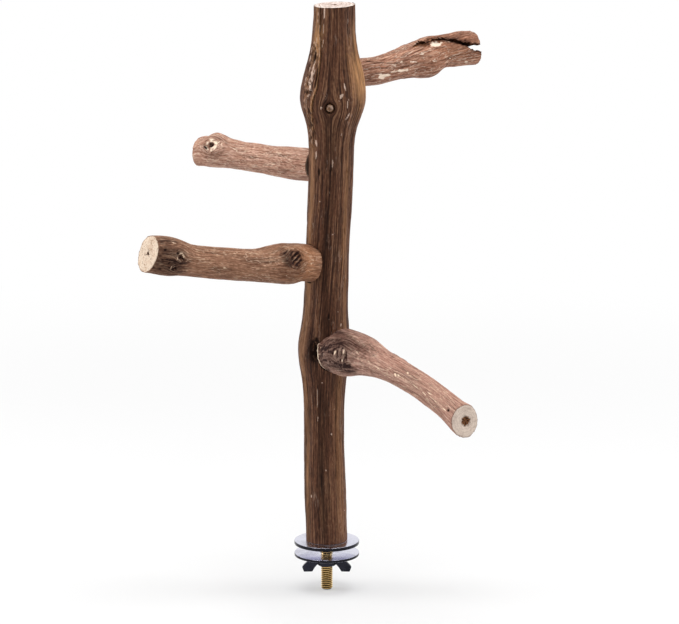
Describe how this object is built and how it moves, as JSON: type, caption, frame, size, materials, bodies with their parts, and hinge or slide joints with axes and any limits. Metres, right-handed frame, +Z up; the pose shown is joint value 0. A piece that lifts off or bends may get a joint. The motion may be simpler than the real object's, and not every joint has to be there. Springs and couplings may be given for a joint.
{
  "type": "bird perch",
  "caption": "Natural wood perch with branch arms on an upright trunk, clamped to a cage top by a threaded stud, washers and a wing nut.",
  "frame": {"origin": "centre of the upper washer's underside, on the axis of the threaded stud", "axes": "+Z up along the trunk, -Y towards the front, +X to the right seen from the front"},
  "size_m": [0.1714, 0.1725, 0.3011],
  "materials": {
    "trunk_wood": "satin, dark brown debarked branch with pale and dark streaks",
    "arm_wood": "satin, pinkish brown debarked branch with cream sawn ends",
    "washer_chrome": "bright plated steel",
    "stud_brass": "yellow zinc plate on steel",
    "nut_steel": "dark shiny cast steel",
    "screw_steel": "plain steel, hidden in the wood"
  },
  "bodies": {
    "perch": {"trunk": "trunk_wood", "lower_right_arm": "arm_wood", "middle_left_arm": "arm_wood", "upper_left_arm": "arm_wood", "forked_arm": "arm_wood", "lower_right_screw": "screw_steel", "middle_left_screw": "screw_steel", "upper_left_screw": "screw_steel", "forked_screw": "screw_steel", "hanger_bolt": "stud_brass", "upper_washer": "washer_chrome"},
    "lower_washer": {"lower_washer": "washer_chrome"},
    "wing_nut": {"wing_nut": "nut_steel"}
  },
  "joints": [
    {"name": "clamp_travel", "type": "slide", "parent": "perch", "child": "lower_washer", "axis": [0, 0, -1], "range_m": [-0.00455, 0.01705]},
    {"name": "wing_nut_spin", "type": "hinge", "parent": "lower_washer", "child": "wing_nut", "pos_m": [0, 0, 0], "axis": [0, 0, -1], "range_deg": [-1620, 6120]}
  ],
  "couplings": [
    {"joint": "clamp_travel", "follows": "wing_nut_spin", "m_per_rad": 0.00015915}
  ]
}
